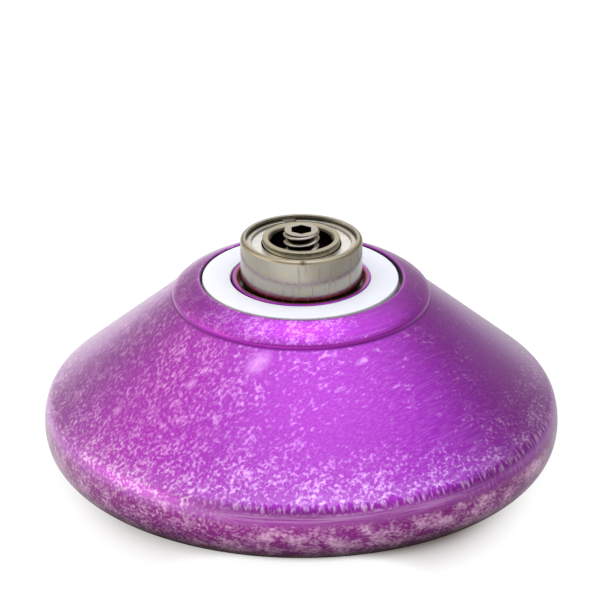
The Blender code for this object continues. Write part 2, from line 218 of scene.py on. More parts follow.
@dataclass(frozen=True)
class SplashAnodise:
    """Aluminium, turned, blasted to a satin and dyed purple over a spatter of resist.

    The eye gets a metallic purple under a clear oxide skin, whose edges pale where it is seen aslant, with a
    spray of soft pale flecks that all lean the same way: thick on one side and low on the flank, long and
    faint on the other side, short teeth where the flank turns into the rim, and fine lines and clouds round
    the rim. Light and shade are painted in as well: a pale sheen at the front middle, highlights on the
    shoulder's turning lines, a painted reflection on the rim's lines under the crease, a bluer tint on the
    right side, and painted shade near the crease, at the step's foot, at the heel, in the pad groove and in
    the bearing's recess. Its ramps are read off a noise, from side to side, along the radius, or up from the
    crease, the step's foot or the shoulder.
    """

    dye: str = "#AE27B8"
    # A bluer copy of the dye on the right side: a painted tint for the dimmer light there.
    right_shade_tint: str = "#AE20C8"
    # A deeper purple: the dye's own random grain, and painted shade near the crease and in the step's foot.
    deep_dye_and_shade: str = "#8E1C98"
    rim_dye: str = "#8C2084"
    # Painted shade of the bearing's recess: dark red on its walls and outer floor, near black beside the
    # bearing.
    recess_shade: str = "#86141E"
    recess_shadow: str = "#16060A"
    # Painted shade in the pad groove, seen in the gap beside the pad.
    groove_shade: str = "#3A0C40"
    # Painted shade at the heel: the floor's shadow, as the rim's bottom edge reflects it.
    heel_shade: str = "#581A2A"
    fleck: str = "#F4ACF6"
    # Paler flecks low on the flank: the flecks' own colour, partly lifted as a painted highlight.
    low_fleck: str = "#FBD0FC"
    rim_fleck: str = "#ECB8E0"
    shoulder_height: float = 18.1
    step_foot: float = 17.58
    crease_radius: float = 26.5
    crease_height: float = 6.3
    patch_size: float = 5.0
    patches: Ramp = (0.3, 0.7, -0.2, 0.2)
    left_density: Ramp = (-14.0, 15.0, 0.8, 0.0)
    low_density: Ramp = (0.0, 6.0, 0.7, 0.0)
    shoulder_density: Ramp = (-0.2, 0.0, 0.0, 0.4)
    shoulder_front: Ramp = (3.0, 9.0, 1.0, 0.0)
    spray_angle: float = math.radians(45)
    streak_size: float = 0.36
    streak_stretch: float = 2.3
    drop_size: float = 0.35
    drop_stretch: float = 1.3
    drop_height: Ramp = (2.0, 7.0, 1.0, 0.0)
    speck_size: float = 0.24
    speck_share: Ramp = (-0.1, 0.1, 0.0, 0.55)
    clump_size: float = 1.6
    clump_weight: float = 0.4
    fleck_start: Ramp = (0.0, 0.8, 0.81, 0.66)
    fleck_fade: float = 0.34
    hair_size: float = 0.16
    hair_stretch: float = 14.0
    hair_span: Span = (0.46, 0.8)
    hair_strength: float = 0.2
    # A faint pale floor under the hairlines at the front middle of the flank: a painted sheen.
    front_sheen: Ramp = (3.0, 14.0, 0.055, 0.0)
    veil: Ramp = (0.0, 2.0, 0.07, 0.0)
    smudges: tuple[tuple[float, float, float, float], ...] = (
        (-4.45, -14.12, 16.52, 1.8),
        (6.16, -13.51, 16.48, 0.6),
        (-11.14, -13.76, 14.02, 0.8),
        (-18.77, -11.95, 10.09, 0.7),
    )
    smudge_core: float = 0.3
    smudge_wear: float = 0.6
    smudge_strength: float = 1.2
    tooth_size: float = 0.4
    tooth_stretch: float = 2.6
    tooth_reach: float = 1.6
    tooth_span: Span = (0.47, 0.63)
    tooth_bite: Ramp = (-0.2, 0.2, 0.2, 0.68)
    tooth_top: Ramp = (0.25, 0.45, 1.0, 0.0)
    tooth_side: Ramp = (-12.0, -3.0, 0.0, 1.0)
    line_size: float = 0.12
    line_stretch: float = 40.0
    line_span: Span = (0.25, 0.75)
    line_dark: float = 0.04
    # The rim's turning lines pale most just under the crease: a painted reflection on real turning marks.
    line_shine: Ramp = (-1.4, -0.8, 0.12, 0.52)
    line_middle: float = 4.0
    line_share: Ramp = (6.0, 18.0, 0.9, 0.3)
    line_top: Span = (-0.6, -0.25)
    # Painted highlights on the shoulder's turning lines.
    painted_glint: Ramp = (0.58, 0.8, 0.0, 0.25)
    cloud_size: float = 2.4
    cloud_smear: float = 1.6
    cloud_weight: float = 1.3
    cloud_start: Ramp = (-12.0, 8.0, 1.12, 1.01)
    cloud_fade: float = 0.44
    cloud_top: Ramp = (-2.0, -1.3, 1.0, 0.0)
    speckle_size: float = 0.4
    rim_spray: Ramp = (-12.0, 0.0, 0.95, 0.2)
    rim_spray_span: Span = (0.25, 1.0)
    shoulder_edge: Ramp = (-0.05, 0.1, 0.0, 1.0)
    flank_edge: Ramp = (-0.1, 0.0, 1.0, 0.0)
    top_side: Ramp = (-1.0, -0.5, 0.0, 1.0)
    rim_edge: Ramp = (-2.0, -0.5, 1.0, 0.0)
    low_tint: Ramp = (0.0, 4.0, 1.0, 0.0)
    # Painted shade: the heel darkens towards the floor.
    heel: Ramp = (0.5, 2.0, 1.0, 0.0)
    # Painted shade in the step's foot, in the deep tone.
    corner: Ramp = (0.06, 0.14, 1.0, 0.0)
    recess_middle: float = 5.0
    recess: Ramp = (1.85, 2.01, 1.0, 0.0)
    recess_wall: Ramp = (6.38, 6.48, 0.0, 1.0)
    ridge: Ramp = (7.22, 7.27, 1.0, 0.0)
    groove: Ramp = (10.56, 10.62, 1.0, 0.0)
    grain_size: float = 0.2
    # Random grain in the deep tone, plus more of it low on the flank towards the crease, except on the left:
    # a painted shade.
    velvet: Ramp = (0.35, 0.65, 0.0, 0.5)
    velvet_front: Ramp = (-15.0, -3.0, 0.0, 0.3)
    velvet_height: Ramp = (2.0, 8.0, 1.0, 0.0)
    # Where the painted tint of the right side comes in.
    right_side: Ramp = (6.0, 18.0, 0.0, 1.0)
    # Real blasting is finer than the picture can show, and is drawn coarser so that it does.
    blast_size: float = 0.12
    blast_strength: float = 0.1
    blast_depth: float = 0.02
    roughness: Ramp = (0.3, 0.7, 0.27, 0.34)
    coat_roughness: float = 0.25
    coat_ior: float = 1.3

    def density(self, finish: ShellFinish) -> Node:
        """Say how thick the spatter lies: thick on the left and low down, thin on the right.

        Args:
            finish: Material that is being built.

        Returns:
            The thickness, from 0 to 1.
        """
        noise = finish.add("TexNoise", {"Vector": finish.place, "Scale": 1 / self.patch_size, **RAGGED})
        patch, left, low, on_shoulder, front = (
            finish.add("MapRange", (value, *ramp), **EASED)
            for value, ramp in (
                (noise, self.patches),
                (finish.x, self.left_density),
                (finish.over_crease, self.low_density),
                (finish.over_shoulder, self.shoulder_density),
                (finish.aside, self.shoulder_front),
            )
        )
        sides = finish.add("Math", (left, low), operation="ADD")
        sides = finish.add("Math", (on_shoulder, front, sides), operation="MULTIPLY_ADD")
        return finish.add("Math", (sides, patch), operation="ADD", use_clamp=True)

    def spatter(self, finish: ShellFinish, dense: Node) -> Node:
        """Lay streaks, drops, hairlines and a few smudges along the spray.

        Args:
            finish: Material that is being built.
            dense: How thick the spatter lies.

        Returns:
            How far the spatter pales the dye.
        """
        lean = {"Vector": finish.place, "Angle": -self.spray_angle}
        turned = finish.add("VectorRotate", lean, rotation_type="Z_AXIS")
        long, short, drawn = (
            finish.add("VectorMath", (turned, (stretch, 1, 1)), operation="DIVIDE")
            for stretch in (self.streak_stretch, self.drop_stretch, self.hair_stretch)
        )
        streaks, drops, specks, clumps, hairs = (
            finish.add("TexNoise", {"Vector": place, "Scale": 1 / size, **detail})
            for place, size, detail in (
                (long, self.streak_size, ROUGH),
                (short, self.drop_size, ROUGH),
                (finish.place, self.speck_size, ROUGH),
                (short, self.clump_size, FINE),
                (drawn, self.hair_size, FINE),
            )
        )
        low, on_shoulder, front_sheen, veil = (
            finish.add("MapRange", (value, *ramp), **EASED)
            for value, ramp in (
                (finish.over_crease, self.drop_height),
                (finish.over_shoulder, self.speck_share),
                (finish.aside, self.front_sheen),
                (finish.over_crease, self.veil),
            )
        )
        grain = finish.add("Mix", (low, streaks, drops))
        grain = finish.add("Mix", (on_shoulder, grain, specks))
        grain = finish.add("Math", (clumps, self.clump_weight, grain), operation="MULTIPLY_ADD")
        start = finish.add("MapRange", (dense, *self.fleck_start))
        full = finish.add("Math", (start, self.fleck_fade), operation="ADD")
        laid = finish.add("MapRange", (grain, start, full))
        # The hairlines never fall below the painted sheen at the front middle.
        hair = finish.add("MapRange", (hairs, *self.hair_span, front_sheen, self.hair_strength))
        hair = finish.add("Mix", (on_shoulder, hair, 0.0))
        laid = finish.add("Math", (laid, hair), operation="MAXIMUM")
        laid = finish.add("Math", (laid, veil), operation="ADD")
        for x, y, z, size in self.smudges:
            middle = Matrix.Rotation(-self.spray_angle, 3, "Z") @ Vector((x, y, z))
            middle.x /= self.streak_stretch
            away = finish.add("VectorMath", (long, middle), operation="DISTANCE").outputs["Value"]
            ragged = finish.add("Math", (drops, self.smudge_wear, away), operation="MULTIPLY_ADD")
            reach = (self.smudge_core, self.smudge_core + size)
            spot = finish.add("MapRange", (ragged, *reach, self.smudge_strength, 0.0), **EASED)
            worn = finish.add("Math", (spot, streaks), operation="MULTIPLY")
            laid = finish.add("Math", (laid, worn), operation="MAXIMUM")
        return laid

    def rim_pattern(self, finish: ShellFinish, spatter: Node) -> Node:
        """Go from the spatter over a band of upright teeth and one of fine lines to clouds, down the rim.

        Args:
            finish: Material that is being built.
            spatter: How far the spatter pales the flank.

        Returns:
            How far all the patterns pale the dye.
        """
        outwards = finish.add("VectorMath", (finish.place, (1, 1, 0)), operation="MULTIPLY")
        unit = finish.add("VectorMath", (outwards,), operation="NORMALIZE")
        ring = finish.add("VectorMath", {"Vector": unit, "Scale": self.crease_radius}, operation="SCALE")
        flat = finish.add("Math", (finish.z, 1 / self.tooth_stretch), operation="MULTIPLY")
        upright = finish.add("VectorMath", (ring, finish.add("CombineXYZ", {"Z": flat})), operation="ADD")
        along = (self.line_stretch, self.line_stretch, 1)
        drawn = finish.add("VectorMath", (finish.place, along), operation="DIVIDE")
        smeared = finish.add("VectorMath", (finish.place, (1, 1, self.cloud_smear)), operation="MULTIPLY")
        comb, turned, mist, specks = (
            finish.add("TexNoise", {"Vector": place, "Scale": 1 / size, **detail})
            for place, size, detail in (
                (upright, self.tooth_size, RAGGED),
                (drawn, self.line_size, FINE),
                (smeared, self.cloud_size, RAGGED),
                (smeared, self.speckle_size, RAGGED),
            )
        )
        ragged = finish.add("Math", (comb, self.tooth_reach, finish.over_crease), operation="MULTIPLY_ADD")
        ragged = finish.add("Math", (ragged, self.tooth_reach / 2), operation="SUBTRACT")
        beside = finish.off(finish.x, self.line_middle)
        bite, shine, start, spray, toothed, at_teeth, lined, at_clouds, on_shoulder, on_flank = (
            finish.add("MapRange", (value, *ramp), **EASED)
            for value, ramp in (
                (ragged, self.tooth_bite),
                (finish.over_crease, self.line_shine),
                (finish.x, self.cloud_start),
                (finish.x, self.rim_spray),
                (finish.x, self.tooth_side),
                (ragged, self.tooth_top),
                (beside, self.line_share),
                (ragged, self.cloud_top),
                (finish.over_shoulder, self.shoulder_edge),
                (finish.over_foot, self.flank_edge),
            )
        )
        at_teeth = finish.add("Math", (at_teeth, toothed), operation="MULTIPLY")
        at_lines = finish.add("MapRange", (ragged, *self.line_top, lined, 0.0), **EASED)
        teeth = finish.add("MapRange", (comb, *self.tooth_span, 0.0, bite))
        # Real turning lines, paled by a painted reflection just under the crease.
        lines = finish.add("MapRange", (turned, *self.line_span, self.line_dark, shine), **EASED)
        raised = finish.add("Math", (mist, self.cloud_weight, specks), operation="MULTIPLY_ADD")
        full = finish.add("Math", (start, self.cloud_fade), operation="ADD")
        clouds = finish.add("MapRange", (raised, start, full))
        sprayed = finish.add("MapRange", (spatter, *self.rim_spray_span, 0.0, spray))
        clouds = finish.add("Math", (clouds, sprayed), operation="MAXIMUM")
        # Painted highlights on the shoulder's turning lines.
        painted_glints = finish.add("MapRange", (turned, *self.painted_glint))
        painted_glints = finish.add("Math", (painted_glints, on_shoulder), operation="MULTIPLY")
        beside_step = finish.add("Math", (on_shoulder, on_flank), operation="ADD")
        pale = finish.add("Math", (spatter, beside_step), operation="MULTIPLY")
        pale = finish.add("Math", (pale, painted_glints), operation="MAXIMUM")
        for mask, pattern in ((at_teeth, teeth), (at_lines, lines), (at_clouds, clouds)):
            pale = finish.add("Mix", (mask, pale, pattern))
        return pale

    def material(self) -> Material:
        """Build the material.

        Returns:
            The finished material.
        """
        heights = (self.crease_height, self.step_foot, self.shoulder_height)
        finish = ShellFinish("splash_anodised_aluminium", *heights)
        pale = self.rim_pattern(finish, self.spatter(finish, self.density(finish)))
        above = finish.add("MapRange", (finish.over_foot, *self.top_side), **EASED)
        # The rings round the bearing are laid out by radius, on the upper side alone.
        radius = finish.add("Mix", (above, self.crease_radius, finish.radius()))
        across = finish.off(radius, self.recess_middle)
        away = finish.add("Math", (finish.over_foot,), operation="ABSOLUTE")
        grain, blast = (
            finish.add("TexNoise", {"Vector": finish.place, "Scale": 1 / size, **detail})
            for size, detail in ((self.grain_size, FINE), (self.blast_size, SMOOTH))
        )
        rim, low, heel, corner, recess, wall, ridge, groove, right, velvet, front, lower, gloss = (
            finish.add("MapRange", (value, *ramp), **EASED)
            for value, ramp in (
                (finish.over_crease, self.rim_edge),
                (finish.over_crease, self.low_tint),
                (finish.z, self.heel),
                (away, self.corner),
                (across, self.recess),
                (radius, self.recess_wall),
                (radius, self.ridge),
                (radius, self.groove),
                (finish.x, self.right_side),
                (grain, self.velvet),
                (finish.x, self.velvet_front),
                (finish.over_crease, self.velvet_height),
                (blast, self.roughness),
            )
        )
        velvet = finish.add("Math", (front, lower, velvet), operation="MULTIPLY_ADD")
        # Painted shade in the bearing's recess: near black beside the bearing, dark red further out.
        core = finish.add("Mix", (wall, linear(self.recess_shadow), linear(self.recess_shade)), data_type="RGBA")
        dye = linear(self.dye)
        # Painted light and shade enter here: a bluer tint on the right side, and painted shade near the
        # crease, at the heel, in the pad groove, at the step's foot and in the bearing's recess.
        for mask, tone in (
            (right, linear(self.right_shade_tint)),
            (velvet, linear(self.deep_dye_and_shade)),
            (rim, linear(self.rim_dye)),
            (heel, linear(self.heel_shade)),
            (groove, linear(self.groove_shade)),
            (ridge, linear(self.dye)),
            # Painted shade in the step's foot.
            (corner, linear(self.deep_dye_and_shade)),
            (recess, core),
        ):
            dye = finish.add("Mix", (mask, dye, tone), data_type="RGBA")
        tint = finish.add("Mix", (low, linear(self.fleck), linear(self.low_fleck)), data_type="RGBA")
        tint = finish.add("Mix", (rim, tint, linear(self.rim_fleck)), data_type="RGBA")
        pale = finish.add("Mix", (groove, pale, 0.0))
        colour = finish.add("Mix", (pale, dye, tint), data_type="RGBA")
        relief = {"Strength": self.blast_strength, "Distance": self.blast_depth * MM}
        bump = finish.add("Bump", {"Height": blast, **relief})
        skin = {"Coat Weight": 1.0, "Coat Roughness": self.coat_roughness, "Coat IOR": self.coat_ior}
        metal = {"Base Color": colour, "Metallic": 1.0, "Roughness": gloss, "Normal": bump, **skin}
        return finish.close(finish.add("BsdfPrincipled", metal))


@dataclass(frozen=True)
class CastSilicone:
    """White silicone, cast in place: matte, a little cool and soft at its edges."""

    body: str = "#FBFBFB"
    shade: str = "#F6F7F9"
    mottle_size: float = 1.5
    mottle: Ramp = (0.3, 0.7, 0.0, 1.0)
    skin_size: float = 0.15
    skin_strength: float = 0.1
    skin_depth: float = 0.02
    roughness: Ramp = (0.3, 0.7, 0.5, 0.6)

    def material(self) -> Material:
        """Build the material.

        Returns:
            The finished material.
        """
        finish = Finish("cast_white_silicone")
        mottle, skin = (
            finish.add("TexNoise", {"Vector": finish.place, "Scale": 1 / size, **detail})
            for size, detail in ((self.mottle_size, RAGGED), (self.skin_size, FINE))
        )
        shade = finish.add("MapRange", (mottle, *self.mottle), **EASED)
        colour = finish.add("Mix", (shade, linear(self.body), linear(self.shade)), data_type="RGBA")
        relief = {"Strength": self.skin_strength, "Distance": self.skin_depth * MM}
        bump = finish.add("Bump", {"Height": skin, **relief})
        gloss = finish.add("MapRange", (skin, *self.roughness), **EASED)
        rubber = {"Base Color": colour, "Roughness": gloss, "Normal": bump}
        return finish.close(finish.add("BsdfPrincipled", rubber))


@dataclass(frozen=True)
class Steel:
    """Steel of one piece: its tone, how it was finished and how much it has been handled.

    Ground and polished steel shows fine rings round the axis, faint upright scuffs where the string and the
    tools have rubbed it, and a slight mottle between a warm and a cold grey. It is dark inside a radius and
    below a height, with old oil and painted shade in the hollows, and straw coloured above a height, where
    either is given.
    """

    name: str
    warm: str
    cold: str
    roughness: float
    gloss_span: Span = (0.3, 0.7)
    gloss_shares: Span = (0.8, 1.25)
    # Grinding marks are finer than the picture can show, and are drawn as rings that just do.
    ring_size: float = 0.05
    ring_depth: float = 0.15
    ring_relief: float = 0.01
    mottle_size: float = 0.9
    mottle: Ramp = (0.35, 0.65, 0.0, 1.0)
    scuff: float = 0.0
    scuff_size: float = 0.4
    scuff_stretch: float = 9.0
    scuff_span: Span = (0.56, 0.8)
    scuff_tone: str = "#4A4238"
    # Painted shade in the piece's hollows, with old oil: darker inside this radius and below this height.
    oil_shade_radius: float = 0.0
    oil_shade_edge: float = 0.06
    oil_shade_height: float = 100.0
    oil_shade_fade: float = 0.1
    oil_shade_strength: float = 0.9
    oil_shade_tone: str = "#2C2212"
    straw_height: float = 0.0
    straw_edge: Span = (-0.05, 0.1)
    straw_wear: Ramp = (-3.0, 2.0, 0.5, 0.1)
    straw_tone: str = "#A8966C"
    # A painted reflection of the dark camera: a small dark spot on the front of the top edge.
    camera_reflection: tuple[float, float, float] = (0.15, -6.2, 24.05)
    camera_reflection_fade: Ramp = (0.0, 0.5, 0.8, 0.0)
    camera_reflection_tone: str = "#3A2A18"

    def material(self) -> Material:
        """Build the material.

        Returns:
            The finished material.
        """
        finish = Finish(self.name)
        radius = finish.radius()
        section = finish.add("CombineXYZ", {"X": radius, "Z": finish.z})
        mottle, rings = (
            finish.add("TexNoise", {"Vector": place, "Scale": 1 / size, **detail})
            for place, size, detail in (
                (finish.place, self.mottle_size, MOTTLED), (section, self.ring_size, SMOOTH)
            )
        )
        tone = finish.add("MapRange", (mottle, *self.mottle), **EASED)
        colour = finish.add("Mix", (tone, linear(self.warm), linear(self.cold)), data_type="RGBA")
        relief = {"Strength": self.ring_depth, "Distance": self.ring_relief * MM}
        bump = finish.add("Bump", {"Height": rings, **relief})
        dullness = [self.roughness * share for share in self.gloss_shares]
        gloss = finish.add("MapRange", (mottle, *self.gloss_span, *dullness), **EASED)
        stains: list[tuple[Node, str]] = []
        if self.scuff:
            drawn = (1, 1, self.scuff_stretch)
            upright = finish.add("VectorMath", (finish.place, drawn), operation="DIVIDE")
            rubbed = finish.add("TexNoise", {"Vector": upright, "Scale": 1 / self.scuff_size, **RAGGED})
            worn = finish.add("MapRange", (rubbed, *self.scuff_span, 0.0, self.scuff))
            gloss = finish.add("Math", (gloss, worn), operation="ADD")
            stains.append((worn, self.scuff_tone))
        if self.straw_height:
            edge = [self.straw_height + share for share in self.straw_edge]
            rubbed = finish.add("MapRange", (finish.y, *self.straw_wear), **EASED)
            straw = finish.add("MapRange", (finish.z, *edge, 0.0, rubbed), **EASED)
            # Painted reflection of the camera on the top edge's front.
            away = finish.add("VectorMath", (finish.place, self.camera_reflection), operation="DISTANCE").outputs["Value"]
            camera_reflected = finish.add("MapRange", (away, *self.camera_reflection_fade), **EASED)
            stains += [(straw, self.straw_tone), (camera_reflected, self.camera_reflection_tone)]
        # Painted shade in the hollows, with old oil.
        if self.oil_shade_radius:
            reach = (self.oil_shade_radius, self.oil_shade_radius + self.oil_shade_edge)
            level = (self.oil_shade_height - self.oil_shade_fade, self.oil_shade_height)
            inside = finish.add("MapRange", (radius, *reach, self.oil_shade_strength, 0.0), **EASED)
            below = finish.add("MapRange", (finish.z, *level, 1.0, 0.0), **EASED)
            stains.append((finish.add("Math", (inside, below), operation="MULTIPLY"), self.oil_shade_tone))
        for mask, stain in stains:
            colour = finish.add("Mix", (mask, colour, linear(stain)), data_type="RGBA")
        metal = {"Base Color": colour, "Metallic": 1.0, "Roughness": gloss, "Normal": bump}
        return finish.close(finish.add("BsdfPrincipled", metal))


RACE_STEEL = Steel("polished_bearing_steel", "#ABA492", "#A6A59E", 0.18, mottle_size=0.6, scuff=0.3)
INNER_RACE_STEEL = replace(
    RACE_STEEL, name="polished_inner_race", warm="#A79E84", cold="#A39F8C", scuff=0.0, ring_depth=0.04
)
SHIELD_STEEL = Steel("pressed_stainless_shield", "#E6E4DC", "#E3E3E0", 0.3, ring_depth=0.25)
CLIP_STEEL = Steel("spring_steel_ring", "#C0BBAE", "#BDBBB5", 0.2)
AXLE_STEEL = Steel(
    "nickel_plated_screw_steel", "#AEA798", "#A9A59B", 0.12,
    mottle_size=0.5, oil_shade_radius=1.66, oil_shade_tone="#75664A",
)
CAGE_STEEL = Steel("pressed_cage_steel", "#B8AE98", "#B3B0A6", 0.35)
BALL_STEEL = Steel("lapped_ball_steel", "#D2D0CC", "#CECFD0", 0.06, ring_depth=0.02)


class Outline:
    """Half section of a turned piece, drawn corner by corner as radius and height in millimetres."""

    def __init__(self, fineness: int = 6) -> None:
        """Start an empty outline whose round corners have this many steps."""
        self.fineness = fineness
        self.corners: list[Corner] = []

    def to(self, radius: float, height: float, fillet: float = 0.0) -> "Outline":
        """Draw a line to a corner.

        Args:
            radius: Distance of the corner from the axis.
            height: Height of the corner.
            fillet: Radius that rounds the corner off, or 0 for a sharp one.

        Returns:
            This outline.
        """
        self.corners.append((radius, height, fillet))
        return self

    def bend(self, slope: float, end_slope: float, radius: float, steps: int) -> "Outline":
        """Draw an arc on from the last corner, as its downward slope turns from one angle to another.

        Args:
            slope: Downward slope at which the arc starts, in radians.
            end_slope: Downward slope at which it ends.
            radius: Radius of the arc.
            steps: How many edges the arc has.

        Returns:
            This outline.
        """
        start_radius, start_height, _ = self.corners[-1]
        for step in range(1, steps + 1):
            turn = slope + (end_slope - slope) * step / steps
            run = radius * (math.sin(turn) - math.sin(slope))
            fall = radius * (math.cos(slope) - math.cos(turn))
            self.to(start_radius + run, start_height - fall)
        return self

    def bow(self, end_radius: float, end_height: float, radius: float, steps: int) -> "Outline":
        """Draw an outward arc down to a point.

        Args:
            end_radius: Distance of the point from the axis.
            end_height: Height of the point.
            radius: Radius of the arc.
            steps: How many edges the arc has.

        Returns:
            This outline.
        """
        start_radius, start_height, _ = self.corners[-1]
        run, fall = end_radius - start_radius, start_height - end_height
        half_turn = math.asin(math.hypot(run, fall) / (2 * radius))
        chord = math.atan2(fall, run)
        return self.bend(chord - half_turn, chord + half_turn, radius, steps)

    def ring(
        self, radii: Span, heights: Span, fillets: Sequence[float] = (0.0, 0.0, 0.0, 0.0)
    ) -> "Outline":
        """Draw the four corners of a ring, from the first radius and height round by the second radius.

        Args:
            radii: Distance of its two walls from the axis.
            heights: Height of its two faces.
            fillets: Radius that rounds each corner off.

        Returns:
            This outline.
        """
        (inner, outer), (first, second) = radii, heights
        corners = ((inner, first), (outer, first), (outer, second), (inner, second))
        for corner, fillet in zip(corners, fillets):
            self.to(*corner, fillet)
        return self

    def points(self) -> list[Vector]:
        """Work out the points of the outline, with its round corners as arcs.

        Returns:
            Radius and height of each point, in order.
        """
        points: list[Vector] = []
        for index, (radius, height, fillet) in enumerate(self.corners):
            here = Vector((radius, height))
            if not fillet:
                points.append(here)
                continue
            back = (Vector(self.corners[index - 1][:2]) - here).normalized()
            ahead = (Vector(self.corners[(index + 1) % len(self.corners)][:2]) - here).normalized()
            half_angle = back.angle(ahead) / 2
            centre = here + (back + ahead).normalized() * fillet / math.sin(half_angle)
            first = here + back * fillet / math.tan(half_angle) - centre
            turn = first.angle_signed(here + ahead * fillet / math.tan(half_angle) - centre)
            for step in range(self.fineness + 1):
                points.append(centre + Matrix.Rotation(-turn * step / self.fineness, 2) @ first)
        return points


def select(piece: Object, kind: str, test: Callable[[object], bool]) -> None:
    """Select what passes a test in a mesh that is being edited.

    Args:
        piece: Object in edit mode.
        kind: What is tested: verts, edges or faces.
        test: Says whether one of them is selected.
    """
    bpy.ops.mesh.select_all(action="DESELECT")
    shape = bmesh.from_edit_mesh(piece.data)
    for item in getattr(shape, kind):
        if test(item):
            item.select_set(True)
    bmesh.update_edit_mesh(piece.data)


def draw(name: str, points: Sequence[Vector], azimuth: float = 0.0) -> Object:
    """Draw a half section by extruding one vertex along it, and stay in edit mode.

    Args:
        name: Name of the new piece.
        points: Radius and height of each point, in millimetres.
        azimuth: Direction round the axis that the section lies in, in radians.

    Returns:
        The new piece.
    """
    ray = Vector((math.cos(azimuth), math.sin(azimuth), 0.0))
    places = [(ray * point.x + Vector((0.0, 0.0, point.y))) * MM for point in points]
    bpy.ops.object.select_all(action="DESELECT")
    bpy.ops.mesh.primitive_plane_add(size=MM, location=places[0])
    piece = bpy.context.object
    piece.name = piece.data.name = name
    bpy.ops.object.transform_apply(location=True, rotation=False, scale=False)
    bpy.ops.object.mode_set(mode="EDIT")
    bpy.ops.mesh.select_mode(type="VERT")
    bpy.ops.mesh.select_all(action="SELECT")
    bpy.ops.mesh.merge(type="CENTER")
    for here, ahead in zip(places, places[1:]):
        bpy.ops.mesh.extrude_vertices_move(TRANSFORM_OT_translate={"value": ahead - here})
    return piece


def close_loop(piece: Object, points: Sequence[Vector]) -> None:
    """Join the two ends of a drawn section by an edge.

    Args:
        piece: Section in edit mode.
        points: Radius and height of each of its points, in millimetres.
    """
    ends = [points[0] * MM, points[-1] * MM]

    def is_end(vertex: bmesh.types.BMVert) -> bool:
        """Does this vertex lie at an end of the section?"""
        here = Vector((math.hypot(vertex.co.x, vertex.co.y), vertex.co.z))
        return any((here - end).length < MERGE_DISTANCE for end in ends)

    select(piece, "verts", is_end)
    bpy.ops.mesh.edge_face_add()


def clean() -> None:
    """Merge doubles, turn faces outwards and leave edit mode."""
    bpy.ops.mesh.select_all(action="SELECT")
    bpy.ops.mesh.remove_doubles(threshold=MERGE_DISTANCE)
    bpy.ops.mesh.normals_make_consistent(inside=False)
    bpy.ops.object.mode_set(mode="OBJECT")


def turn(name: str, outline: Outline, segments: int, ring: bool = True, azimuth: float = 0.0) -> Object:
    """Turn a piece on the lathe: draw its section and spin it round Z.

    Args:
        name: Name of the new piece.
        outline: Section of the piece.
        segments: How many sides the turned piece has.
        ring: Whether the section closes on itself, or else starts and ends on the axis.
        azimuth: Direction of the first side's corner, in radians.

    Returns:
        The turned piece, in object mode.
    """
    points = outline.points()
    piece = draw(name, points, azimuth)
    if ring:
        close_loop(piece, points)
    bpy.ops.mesh.select_all(action="SELECT")
    bpy.ops.mesh.spin(steps=segments, angle=math.tau, center=(0, 0, 0), axis=(0, 0, 1))
    clean()
    return piece


def pick(piece: Object) -> None:
    """Select one piece alone and make it active.

    Args:
        piece: Piece that the next operator works on.
    """
    bpy.ops.object.select_all(action="DESELECT")
    piece.select_set(True)
    bpy.context.view_layer.objects.active = piece


def cut(piece: Object, cutter: Object, operation: str = "DIFFERENCE") -> None:
    """Apply a Boolean to a piece and throw its cutter away.

    Args:
        piece: Piece that is cut.
        cutter: Closed mesh that cuts it.
        operation: What the Boolean does.
    """
    pick(piece)
    bpy.ops.object.modifier_add(type="BOOLEAN")
    boolean = piece.modifiers[-1]
    boolean.object = cutter
    boolean.operation = operation
    boolean.solver = "EXACT"
    bpy.ops.object.modifier_apply(modifier=boolean.name)
    bpy.data.objects.remove(cutter)


def smooth(piece: Object, sharp_angle: float) -> None:
    """Shade a piece smooth, apart from edges sharper than an angle."""
    pick(piece)
    bpy.ops.object.shade_smooth_by_angle(angle=sharp_angle)


@dataclass(frozen=True)
class Extent:
    """Reach of a turned CAD node in millimetres."""

    radius: float
    base: float
    top: float
    middle: tuple[float, float]

    @classmethod
    def of(cls, node: str) -> "Extent":
        """Read a node's reach from the frame.

        Args:
            node: Name of the CAD node.

        Returns:
            Its reach.
        """
        low, high = (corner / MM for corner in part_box(node))
        middle = ((low.x + high.x) / 2, (low.y + high.y) / 2)
        return cls((high.y - low.y) / 2, low.z, high.z, middle)


class SubAssembly:
    """Pieces that are turned and dressed together."""

    sharp_angle: float = math.radians(35)

    def dress(
        self, piece: Object, finish: Material, body: str, slot: Slot, nodes: Iterable[str]
    ) -> None:
        """Give a piece its finish and its body, and hide the nodes that it stands for.

        Args:
            piece: Finished mesh, in place.
            finish: Material of the whole piece.
            body: CAD body that it moves with.
            slot: Material slot of the record; not used.
            nodes: CAD nodes that it replaces.
        """
        smooth(piece, self.sharp_angle)
        piece.data.materials.clear()
        piece.data.materials.append(finish)
        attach(piece, body)
        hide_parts(*nodes)
        log.info("%s: %d faces on body %s", piece.name, len(piece.data.polygons), body)


